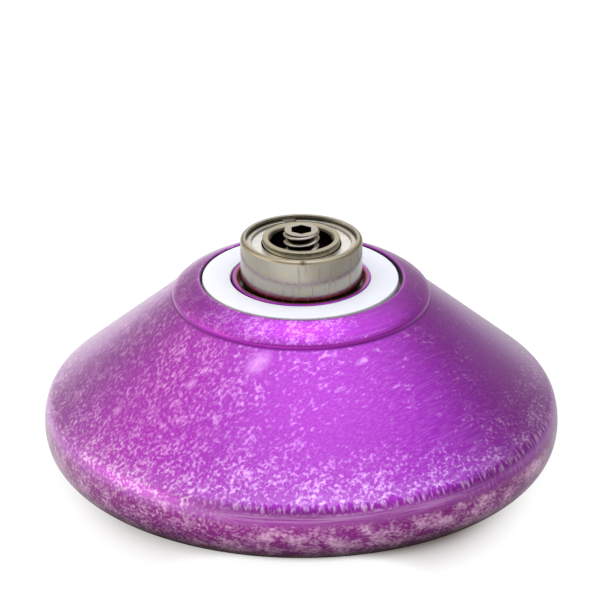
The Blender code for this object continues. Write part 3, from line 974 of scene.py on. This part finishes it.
@dataclass
class Shell(SubAssembly):
    """The turned aluminium half: post, ridge, pad groove, shoulder, step, flank, rim and cup."""

    pad: Extent
    bearing: Extent
    axle: Extent
    segments: int = 224
    post_top: float = 21.60
    post_radius: float = 3.145
    post_chamfer: float = 0.2
    hole_radius: float = 2.05
    hole_chamfer: float = 0.25
    hole_spare_depth: float = 0.5
    seat_drop: float = 0.02
    seat_radius: float = 3.95
    recess_depth: float = 0.48
    recess_radius: float = 6.60
    ridge_width: float = 0.6
    ridge_proud: float = 0.04
    ridge_round: float = 0.1
    ridge_inner_round: float = 0.25
    groove_depth: float = 1.0
    groove_radius: float = 10.55
    groove_edge_round: float = 0.18
    groove_edge_slope: float = math.radians(17)
    groove_edge_steps: int = 4
    pad_proud: float = 0.02
    shoulder_radius: float = 7.8
    shoulder_steps: int = 16
    step_radius: float = 13.53
    step_top: float = 18.03
    step_height: float = 0.41
    step_round: float = 0.45
    step_undercut: float = 0.1
    crease_radius: float = 26.12
    crease_height: float = 6.755
    crease_round: float = 2.6
    crease_steps: int = 12
    rim_top_slope: float = math.radians(73.4)
    rim_turn_slope: float = math.radians(102)
    rim_bulge: float = 6.1
    rim_steps: int = 16
    heel_steps: int = 20
    land_width: float = 0.9
    lip_round: float = 0.7
    flank_wall: float = 2.2
    hub_height: float = 14.5
    hub_round: float = 2.0
    rim_wall_round: float = 1.5
    boss_radius: float = 5.5
    boss_skin: float = 1.7
    boss_round: float = 0.5
    boss_corner: float = 0.8
    dimple_radius: float = 1.4
    dimple_depth: float = 0.7

    @property
    def step_base(self) -> float:
        """Height of the step's foot, where the flank starts."""
        return self.step_top - self.step_height

    @property
    def flank(self) -> float:
        """Downward slope of the flank."""
        return math.atan2(self.step_base - self.crease_height, self.crease_radius - self.step_radius)

    def outline(self) -> Outline:
        """Draw the half section, from the axle hole's floor over the top and the rim to the cup's middle.

        Returns:
            The whole section.
        """
        section = Outline()
        self.draw_middle(section)
        land_radius = self.draw_outside(section)
        self.draw_cup(section, land_radius)
        return section

    def draw_middle(self, section: Outline) -> None:
        """Draw the axle hole, the bearing's seat, the ridge and the pad groove.

        Args:
            section: Outline that starts here.
        """
        hole_floor = self.axle.base - self.hole_spare_depth
        seat = self.bearing.base - self.seat_drop
        recess = seat - self.recess_depth
        groove_floor = self.pad.top - self.groove_depth
        ridge_top = self.pad.top + self.ridge_proud
        section.to(0.0, hole_floor).to(self.hole_radius, hole_floor)
        section.to(self.hole_radius, self.post_top - self.hole_chamfer)
        section.to(self.hole_radius + self.hole_chamfer, self.post_top)
        section.to(self.post_radius - self.post_chamfer, self.post_top)
        section.to(self.post_radius, self.post_top - self.post_chamfer)
        section.to(self.post_radius, seat).to(self.seat_radius, seat).to(self.seat_radius, recess)
        section.to(self.recess_radius, recess).to(self.recess_radius, ridge_top, self.ridge_inner_round)
        section.to(self.recess_radius + self.ridge_width, ridge_top, self.ridge_round)
        section.to(self.recess_radius + self.ridge_width, groove_floor).to(self.groove_radius, groove_floor)

    def draw_outside(self, section: Outline) -> float:
        """Draw the shoulder, the step, the flank and the rim.

        Args:
            section: Outline that has come to the groove's floor.

        Returns:
            Outer radius of the land that the rim stands on.
        """
        edge = self.pad.top - self.pad_proud
        brow = (self.step_radius - self.step_round, self.step_top + self.step_round)
        section.to(self.groove_radius, edge - self.groove_edge_round)
        section.bend(-math.pi / 2, self.groove_edge_slope, self.groove_edge_round, self.groove_edge_steps)
        section.bow(*brow, self.shoulder_radius, self.shoulder_steps)
        section.to(self.step_radius, self.step_top, self.step_round)
        section.to(self.step_radius - self.step_undercut, self.step_base)
        section.to(self.crease_radius, self.crease_height)
        section.bend(self.flank, self.rim_top_slope, self.crease_round, self.crease_steps)
        section.bend(self.rim_top_slope, self.rim_turn_slope, self.rim_bulge, self.rim_steps)
        heel = section.corners[-1][1] / (1 + math.cos(self.rim_turn_slope))
        section.bend(self.rim_turn_slope, math.pi, heel, self.heel_steps)
        return section.corners[-1][0]

    def draw_cup(self, section: Outline, land_radius: float) -> None:
        """Draw the land, the rim's inner wall, the cup's ceiling, the hub and the boss.

        Args:
            section: Outline that has come to the land.
            land_radius: Outer radius of the land.
        """
        wall_radius = land_radius - self.land_width - self.lip_round
        rise, run = math.sin(self.flank), math.cos(self.flank)
        ceiling = self.step_radius * rise + self.step_base * run - self.flank_wall
        boss_base = self.axle.base - self.hole_spare_depth - self.boss_skin
        section.to(wall_radius, 0.0, self.lip_round)
        section.to(wall_radius, (ceiling - wall_radius * rise) / run, self.rim_wall_round)
        section.to((ceiling - self.hub_height * run) / rise, self.hub_height, self.hub_round)
        section.to(self.boss_radius, self.hub_height, self.boss_corner)
        section.to(self.boss_radius, boss_base, self.boss_round)
        section.to(self.dimple_radius, boss_base)
        section.to(0.0, boss_base + self.dimple_depth)

    def build(self) -> None:
        """Turn the shell and dress it."""
        piece = turn("shell", self.outline(), self.segments, ring=False)
        self.dress(piece, SplashAnodise().material(), Body.HALF.value, Slot.SHELL, ["half_shell"])


@dataclass
class ResponsePad(SubAssembly):
    """The flat silicone ring that grips the string, lying a little off centre in its groove."""

    pad: Extent
    segments: int = 160
    width: float = 3.0
    gap: float = 0.1
    edge_round: float = 0.12
    foot_round: float = 0.05

    def build(self) -> None:
        """Cast the ring, set it off centre and dress it."""
        radii = (self.pad.radius - self.width, self.pad.radius - self.gap)
        rounds = (self.foot_round, self.foot_round, self.edge_round, self.edge_round)
        section = Outline().ring(radii, (self.pad.base, self.pad.top), rounds)
        piece = turn("pad", section, self.segments)
        bpy.ops.transform.translate(value=(self.pad.middle[0] * MM, self.pad.middle[1] * MM, 0.0))
        bpy.ops.object.transform_apply(location=True, rotation=False, scale=False)
        self.dress(piece, CastSilicone().material(), Body.HALF.value, Slot.PAD, ["response_pad"])


@dataclass
class AxleScrew(SubAssembly):
    """The axle: an M4 set screw with chamfered ends and a hex socket."""

    axle: Extent
    segments: int = 64
    diameter: float = 3.8
    pitch: float = 0.8
    thread_depth: float = 0.4
    crest_share: float = 1 / 8
    root_share: float = 1 / 4
    crest_round: float = 0.08
    crest_steps: int = 3
    end_diameter: float = 3.5
    end_height: float = 0.02
    end_overlap: float = 0.06
    end_round: float = 0.03
    end_chamfer: float = 0.4
    crest_drop: float = 0.95
    socket_across_flats: float = 2.05
    socket_depth: float = 2.0
    socket_sides: int = 6

    def thread(self) -> Object:
        """Screw one pitch of thread outline up the axis, and cut it level at both ends.

        Returns:
            The threaded rod, in object mode.
        """
        crest, root = self.pitch * self.crest_share, self.pitch * self.root_share
        flank = (self.pitch - crest - root) / 2
        outer = self.diameter / 2
        core = outer - self.thread_depth
        crest_middle = root + flank + crest / 2
        lowest = self.axle.top - self.crest_drop - crest_middle
        turns = math.ceil((lowest - self.axle.base) / self.pitch) + 1
        start = lowest - turns * self.pitch
        section = Outline(self.crest_steps).to(core, start).to(core, start + root)
        section.to(outer, start + root + flank, self.crest_round)
        section.to(outer, start + root + flank + crest, self.crest_round).to(core, start + self.pitch)
        piece = draw("axle_screw", section.points())
        bpy.ops.object.mode_set(mode="OBJECT")
        bpy.ops.object.modifier_add(type="SCREW")
        screw = piece.modifiers[-1]
        screw.screw_offset = self.pitch * MM
        screw.iterations = math.ceil((self.axle.top - start) / self.pitch) + 1
        screw.steps = screw.render_steps = self.segments
        bpy.ops.object.modifier_apply(modifier=screw.name)
        bpy.ops.object.mode_set(mode="EDIT")
        bpy.ops.mesh.select_all(action="SELECT")
        bpy.ops.mesh.remove_doubles(threshold=MERGE_DISTANCE)
        ends = ((self.axle.base + self.end_height, -1), (self.axle.top - self.end_height, 1))
        for height, up in ends:
            bpy.ops.mesh.select_all(action="SELECT")
            bpy.ops.mesh.bisect(
                plane_co=(0, 0, height * MM), plane_no=(0, 0, up), use_fill=True, clear_outer=True,
                threshold=MERGE_DISTANCE,
            )
        clean()
        return piece

    def build(self) -> None:
        """Thread the screw, round its ends, cut its socket and dress it."""
        base, top = self.axle.base, self.axle.top
        radius, deep = self.end_diameter / 2, self.end_height + self.end_overlap
        half_side = math.pi / self.segments
        wide = self.diameter / 2 + self.end_overlap
        spare = self.end_height / 2
        piece = self.thread()
        blank = Outline().to(0.0, base + spare).to(radius, base + spare).to(wide, base + self.end_chamfer)
        blank.to(wide, top - self.end_chamfer).to(radius, top - spare).to(0.0, top - spare)
        cut(piece, turn("axle_blank", blank, self.segments, ring=False, azimuth=half_side / 2), "INTERSECT")
        for low, high in ((base, base + deep), (top - deep, top)):
            disc = Outline().to(0.0, low).to(radius, low, self.end_round)
            disc.to(radius, high, self.end_round).to(0.0, high)
            cut(piece, turn("axle_end", disc, self.segments, ring=False, azimuth=half_side), "UNION")
        corner = self.socket_across_flats / 2 / math.cos(math.pi / self.socket_sides)
        floor, above = top - self.socket_depth, top + self.socket_depth
        hexagon = Outline().to(0.0, floor - corner / 2).to(corner, floor).to(corner, above).to(0.0, above)
        cut(piece, turn("axle_socket", hexagon, self.socket_sides, ring=False, azimuth=math.pi / 2))
        # Painted shade in the thread's roots and the socket.
        oil_shaded = replace(AXLE_STEEL, oil_shade_height=top - deep)
        self.dress(piece, oil_shaded.material(), Body.AXLE.value, Slot.AXLE, ["axle"])


@dataclass
class Bearing(SubAssembly):
    """The ball bearing: two races, ten balls in a crown cage, and a shield and a snap ring at each end."""

    outer: Extent
    segments: int = 192
    bore: float = 3.175
    ball_radius: float = 0.992
    ball_count: int = 10
    raceway_depth: float = 0.2795
    raceway_clearance: float = 0.05
    raceway_steps: int = 12
    bore_chamfer: float = 0.3
    bore_round: float = 0.05
    land_chamfer: float = 0.1
    edge_round: float = 0.36
    lip_round: float = 0.06
    mouth_wall: float = 0.57
    clip_lip: float = 0.1
    clip_drop: float = 0.41
    clip_thickness: float = 0.22
    clip_width: float = 0.66
    clip_round: float = 0.055
    clip_steps: int = 4
    clip_gap: float = math.radians(14)
    clip_azimuth: float = math.radians(103)
    clearance: float = 0.03
    shield_thickness: float = 0.2
    shield_bore_clearance: float = 0.1
    shield_hem: float = 0.05
    # Reach and rise of the painted shade, with old oil, in the outer race's mouth.
    oil_shade_reach: float = 0.02
    oil_shade_rise: float = 0.18
    cage_lip: float = 0.35
    cage_clearance: float = 0.25
    pocket_clearance: float = 0.08
    ball_detail: int = 24
    middle: float = field(init=False)
    half_width: float = field(init=False)
    pitch: float = field(init=False)
    inner_land: float = field(init=False)
    outer_land: float = field(init=False)
    mouth: float = field(init=False)
    clip_seat: float = field(init=False)
    clip_top: float = field(init=False)
    shield_top: float = field(init=False)

    def __post_init__(self) -> None:
        """Work out the sizes that follow from the frame and the driving ones."""
        self.middle = (self.outer.base + self.outer.top) / 2
        self.half_width = (self.outer.top - self.outer.base) / 2
        self.pitch = (self.bore + self.outer.radius) / 2
        self.inner_land = self.pitch - self.ball_radius + self.raceway_depth
        self.outer_land = self.pitch + self.ball_radius - self.raceway_depth
        self.mouth = self.outer.radius - self.mouth_wall
        self.clip_seat = self.mouth + self.clip_lip - self.clearance
        self.clip_top = self.half_width - self.clip_drop
        self.shield_top = self.clip_top - self.clip_thickness - self.clearance

    def raceway(self, section: Outline, land: float, way: int) -> None:
        """Draw the ball groove of a race.

        Args:
            section: Outline that has come to the groove's edge.
            land: Radius of the race's land.
            way: 1 if the groove is drawn upwards, and -1 if downwards.
        """
        radius = self.ball_radius + self.raceway_clearance
        side = land - self.pitch
        reach = math.acos(abs(side) / radius)
        for step in range(self.raceway_steps + 1):
            angle = way * reach * (2 * step / self.raceway_steps - 1)
            away = math.copysign(radius * math.cos(angle), side)
            section.to(self.pitch + away, self.middle + radius * math.sin(angle))

    def build_inner_race(self) -> None:
        """Turn the inner race, which stands a little above the shields."""
        low, high = self.middle - self.half_width, self.middle + self.half_width
        mouth = self.bore + self.bore_chamfer
        section = Outline().to(self.bore, low + self.bore_chamfer).to(self.bore, high - self.bore_chamfer)
        section.to(mouth, high, self.bore_round).to(self.inner_land, high, self.land_chamfer)
        self.raceway(section, self.inner_land, -1)
        section.to(self.inner_land, low, self.land_chamfer).to(mouth, low, self.bore_round)
        piece = turn("inner_race", section, self.segments)
        # Painted shade in the bore.
        oil_shaded = replace(INNER_RACE_STEEL, oil_shade_radius=self.bore + self.bore_chamfer / 2)
        self.dress(piece, oil_shaded.material(), Body.BEARING_CORE.value, Slot.RACE, ["bearing_inner_race"])

    def build_outer_race(self) -> None:
        """Turn the outer race, with a stepped mouth at each end."""
        shelf = self.shield_top - self.shield_thickness - self.clearance
        groove = self.mouth + self.clip_lip
        mouth_top = self.clip_top + self.clearance
        upper = [
            (self.outer_land, shelf, 0.0),
            (groove, shelf, 0.0),
            (groove, mouth_top, 0.0),
            (self.mouth, mouth_top, 0.0),
            (self.mouth, self.half_width, self.lip_round),
            (self.outer.radius, self.half_width, self.edge_round),
        ]
        section = Outline()
        self.raceway(section, self.outer_land, 1)
        for radius, height, fillet in upper:
            section.to(radius, self.middle + height, fillet)
        for radius, height, fillet in reversed(upper):
            section.to(radius, self.middle - height, fillet)
        piece = turn("outer_race", section, self.segments)
        # The mouth's hollow gets painted shade, and the top edge a painted camera reflection.
        worn = replace(
            RACE_STEEL,
            name="polished_outer_race",
            oil_shade_radius=self.mouth + self.oil_shade_reach,
            oil_shade_height=self.middle + mouth_top + self.oil_shade_rise,
            straw_height=self.outer.top - self.edge_round,
        )
        self.dress(piece, worn.material(), Body.BEARING_OUTER.value, Slot.RACE, ["bearing_outer_race"])

    def build_shield(self, side: Side) -> None:
        """Press a shield for one end, with a hem rolled at its bore.

        Args:
            side: End of the bearing that it closes.
        """
        bore = self.inner_land + self.shield_bore_clearance
        top = self.middle + side.value * self.shield_top
        bottom = self.middle + side.value * (self.shield_top - self.shield_thickness)
        hems = (self.shield_hem, 0.0, 0.0, self.shield_hem)
        section = Outline().ring((bore, self.clip_seat), (bottom, top), hems)
        name = f"{side.name.lower()}_shield"
        piece = turn(f"{name}_plate", section, self.segments)
        self.dress(piece, SHIELD_STEEL.material(), Body.BEARING_OUTER.value, Slot.SHIELD, [name])

    def build_clip(self, side: Side) -> None:
        """Bend the split snap ring that holds a shield, with its gap towards the back.

        Args:
            side: End of the bearing whose shield it holds.
        """
        radii = (self.clip_seat - self.clip_width, self.clip_seat)
        top = self.middle + side.value * self.clip_top
        bottom = self.middle + side.value * (self.clip_top - self.clip_thickness)
        section = Outline(self.clip_steps).ring(radii, (bottom, top), [self.clip_round] * 4)
        # Spin sweeps clockwise, so the ring starts at the clockwise side of its gap.
        start = self.clip_azimuth - self.clip_gap / 2
        piece = draw(f"{side.name.lower()}_snap_ring", section.points(), start)
        bpy.ops.mesh.select_all(action="SELECT")
        bpy.ops.mesh.edge_face_add()
        bpy.ops.mesh.spin(
            steps=self.segments, angle=math.tau - self.clip_gap, center=(0, 0, 0), axis=(0, 0, 1)
        )
        clean()
        name = f"{side.name.lower()}_shield_clip"
        self.dress(piece, CLIP_STEEL.material(), Body.BEARING_OUTER.value, Slot.CLIP, [name])

    def balls(self, name: str, radius: float) -> list[Object]:
        """Form one ball from a cube that is subdivided and blown round, and copy it round the ring.

        Args:
            name: Name of the balls, which their numbers follow.
            radius: Their radius.

        Returns:
            The balls in order, each in place and with a mesh of its own.
        """
        bpy.ops.object.select_all(action="DESELECT")
        bpy.ops.mesh.primitive_cube_add(size=2 * radius * MM, location=(0, 0, 0))
        first = bpy.context.object
        bpy.ops.object.mode_set(mode="EDIT")
        bpy.ops.mesh.select_all(action="SELECT")
        bpy.ops.mesh.subdivide(number_cuts=self.ball_detail // 2 - 1)
        bpy.ops.object.mode_set(mode="OBJECT")
        bpy.ops.object.modifier_add(type="CAST")
        cast = first.modifiers[-1]
        cast.factor = 1.0
        cast.size = radius * MM
        cast.use_radius_as_size = False
        bpy.ops.object.modifier_apply(modifier=cast.name)
        pieces = [first]
        while len(pieces) < self.ball_count:
            pick(first)
            bpy.ops.object.duplicate()
            pieces.append(bpy.context.object)
        for number, piece in enumerate(pieces):
            azimuth = math.tau * number / self.ball_count
            place = Vector((self.pitch * math.cos(azimuth), self.pitch * math.sin(azimuth), self.middle))
            piece.name = piece.data.name = f"{name}_{number + 1:02d}"
            pick(piece)
            bpy.ops.transform.translate(value=place * MM)
            bpy.ops.object.transform_apply(location=True, rotation=False, scale=False)
        return pieces

    def build_cage(self) -> None:
        """Turn the crown cage and cut a pocket round each ball."""
        radii = (self.inner_land + self.cage_clearance, self.outer_land - self.cage_clearance)
        low = self.middle - self.cage_lip
        high = self.middle + self.shield_top - self.shield_thickness - self.pocket_clearance
        piece = turn("crown_cage", Outline().ring(radii, (low, high)), self.segments)
        for pocket in self.balls("cage_pocket", self.ball_radius + self.pocket_clearance):
            cut(piece, pocket)
        self.dress(piece, CAGE_STEEL.material(), Body.BALL_CAGE.value, Slot.CAGE, ["bearing_cage"])

    def build(self) -> None:
        """Build every piece of the bearing."""
        self.build_inner_race()
        self.build_outer_race()
        for side in Side:
            self.build_shield(side)
            self.build_clip(side)
        self.build_cage()
        lapped = BALL_STEEL.material()
        for number, piece in enumerate(self.balls("steel_ball", self.ball_radius), start=1):
            label = f"ball_{number:02d}"
            self.dress(piece, lapped, label, Slot.BALL, [f"bearing_{label}"])


@dataclass(frozen=True)
class Glow:
    """A soft round glow in the room: the way to its middle, the cosines it fades over and its brightness."""

    way: tuple[float, float, float]
    span: Span
    level: float


@dataclass
class Studio:
    """White floor, cool light from above, a white wall on the left, a dim room round it and the camera."""

    floor_size: float = 6000.0
    floor_drop: float = 0.02
    floor_colour: str = "#6C6964"
    floor_glow: float = 0.93
    mirror: Ramp = (-10.0, 40.0, 0.82, 0.45)
    mirror_sides: Ramp = (14.0, 26.0, 2.0, 0.5)
    mirror_ahead: Ramp = (-60.0, -28.0, 1.4, 1.0)
    shade_middle: float = -0.75
    shade_reach: float = 7.0
    shade_tone: str = "#564640"
    shade_sides: Ramp = (-12.0, 12.0, 0.6, 1.05)
    shade_grows: Ramp = (5.0, 14.5, 0.8, 0.08)
    shade_fades: Span = (15.0, 26.0)
    room_colour: str = "#FFFAF6"
    room: Ramp = (-0.9, 0.6, 0.62, 0.42)
    wall: Glow = Glow((-0.95, 0.0, 0.31), (0.67, 0.99), 0.6)
    back: Glow = Glow((0.0, 0.91, 0.415), (0.955, 0.99), 0.7)
    panel: Glow = Glow((-0.95, -0.22, 0.21), (0.85, 0.99), 0.6)
    front: Glow = Glow((0.0, -0.99, 0.1), (0.93, 0.99), 0.12)
    left_front: Glow = Glow((-0.5, -0.85, 0.17), (0.8, 0.97), 0.18)
    right_front: Glow = Glow((0.62, -0.76, 0.17), (0.8, 0.97), 0.4)
    sky_colour: str = "#E1E9FF"
    sky: Glow = Glow((0.14, 0.0, 0.99), (0.52, 1.04), 1.42)
    lamp: Glow = Glow((0.0, 0.2, 0.98), (0.94, 0.998), 1.06)
    image_width: int = 600
    camera_distance: float = 350.0
    camera_elevation: float = math.radians(24.5)
    focal_pixels: float = 3357.0
    sensor_width: float = 36.0
    near_share: float = 0.01
    target_height: float = 19.7
    aim: tuple[float, float, float] = (-0.14, 0.0, 16.98)

    def build_floor(self) -> None:
        """Lay the floor: it takes the shadow, and camera and metal see it glow, but not in corners, where a
        painted shadow dims it.
        """
        bpy.ops.object.select_all(action="DESELECT")
        bpy.ops.mesh.primitive_plane_add(size=self.floor_size * MM, location=(0, 0, -self.floor_drop * MM))
        floor = bpy.context.object
        floor.name = floor.data.name = "floor"
        finish = Finish("white_paper_sweep")
        rays = finish.add("LightPath").outputs
        mirrors = (rays["Is Glossy Ray"], rays["Is Transmission Ray"])
        metal = finish.add("Math", mirrors, operation="MAXIMUM")
        open_air = finish.add("AmbientOcclusion", {"Distance": self.shade_reach * MM}).outputs["AO"]
        closed = finish.add("Math", (1.0, open_air), operation="SUBTRACT")
        aside = finish.off(finish.x, self.shade_middle)
        start, side, level, darkening, ahead = (
            finish.add("MapRange", (value, *ramp), **EASED)
            for value, ramp in (
                (aside, self.shade_grows),
                (finish.x, self.shade_sides),
                (finish.x, self.mirror),
                (aside, self.mirror_sides),
                (finish.y, self.mirror_ahead),
            )
        )
        depth = finish.add("MapRange", (aside, *self.shade_fades, side, 0.0), **EASED)
        # A painted shadow on the floor's glow round the object's foot, in lobes beside it, lighter on the
        # left.
        lost = finish.add("MapRange", (closed, start, 1.0, 0.0, depth))
        tone = finish.add("Mix", (lost, linear(WHITE), linear(self.shade_tone)), data_type="RGBA")
        # As metal sees it, the floor's glow is painted dimmer near the object's sides and to the right, and
        # brighter far ahead.
        deep = finish.add("Math", (open_air, darkening), operation="POWER")
        deep = finish.add("Math", (deep, ahead), operation="MULTIPLY")
        mirrored = finish.add("Math", (level, deep), operation="MULTIPLY")
        seen = finish.add("Math", (rays["Is Camera Ray"], self.floor_glow), operation="MULTIPLY")
        strength = finish.add("Math", (metal, mirrored, seen), operation="MULTIPLY_ADD")
        glow = finish.add("Emission", {"Color": tone, "Strength": strength})
        matte = finish.add("BsdfDiffuse", {"Color": linear(self.floor_colour)})
        paper = finish.add("AddShader", (matte, glow))
        below = finish.add("NewGeometry").outputs["Backfacing"]
        sheet = finish.add("MixShader", (below, paper, finish.add("BsdfTransparent")))
        floor.data.materials.append(finish.close(sheet))

    def build_world(self) -> None:
        """Light the room: white to the camera, cool above, bright on the left and back, dim on the right."""
        world = bpy.data.worlds.new("studio_room")
        bpy.context.scene.world = world
        world.use_nodes = True
        tree = world.node_tree
        tree.nodes.clear()
        towards = add_node(tree, "TexCoord").outputs["Generated"]
        way = add_node(tree, "SeparateXYZ", (towards,))
        room = add_node(tree, "MapRange", (way, *self.room), **EASED)
        around = (self.wall, self.back, self.panel, self.front, self.left_front, self.right_front)
        lights = []
        for colour, level, glows in (
            (self.room_colour, room, around),
            (self.sky_colour, 0.0, (self.sky, self.lamp)),
        ):
            for glow in glows:
                facing = add_node(tree, "VectorMath", (towards, glow.way), operation="DOT_PRODUCT")
                cosine = facing.outputs["Value"]
                lit = add_node(tree, "MapRange", (cosine, *glow.span, 0.0, glow.level), **EASED)
                level = add_node(tree, "Math", (level, lit), operation="ADD")
            lights.append(add_node(tree, "Background", {"Color": linear(colour), "Strength": level}))
        light = add_node(tree, "AddShader", tuple(lights))
        white = add_node(tree, "Background", {"Color": linear(WHITE), "Strength": 1.0})
        camera = add_node(tree, "LightPath").outputs["Is Camera Ray"]
        shown = add_node(tree, "MixShader", (camera, light, white))
        add_node(tree, "OutputWorld", {"Surface": shown})

    def build_camera(self) -> None:
        """Set the camera at the photograph's angle and framing."""
        reach = self.camera_distance * math.cos(self.camera_elevation)
        rise = self.camera_distance * math.sin(self.camera_elevation)
        place = Vector((0.0, -reach, self.target_height + rise)) * MM
        look = Vector(self.aim) * MM - place
        bpy.ops.object.camera_add(location=place, rotation=look.to_track_quat("-Z", "Y").to_euler())
        camera = bpy.context.object
        camera.data.sensor_width = self.sensor_width
        camera.data.lens = self.focal_pixels / self.image_width * self.sensor_width
        camera.data.clip_start = self.camera_distance * MM * self.near_share
        bpy.context.scene.camera = camera

    def build(self) -> None:
        """Set up the floor, the light, the camera and the view transform."""
        self.build_floor()
        self.build_world()
        self.build_camera()
        bpy.context.scene.view_settings.view_transform = "Standard"


def main() -> None:
    """Load the frame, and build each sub-assembly and the studio."""
    logging.basicConfig(level=logging.INFO, format="%(name)s: %(message)s")
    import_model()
    pad, outer_race, axle = (Extent.of(node) for node in ("response_pad", "bearing_outer_race", "axle"))
    Shell(pad, outer_race, axle).build()
    ResponsePad(pad).build()
    AxleScrew(axle).build()
    Bearing(outer_race).build()
    Studio().build()


if __name__ == "__main__":
    main()
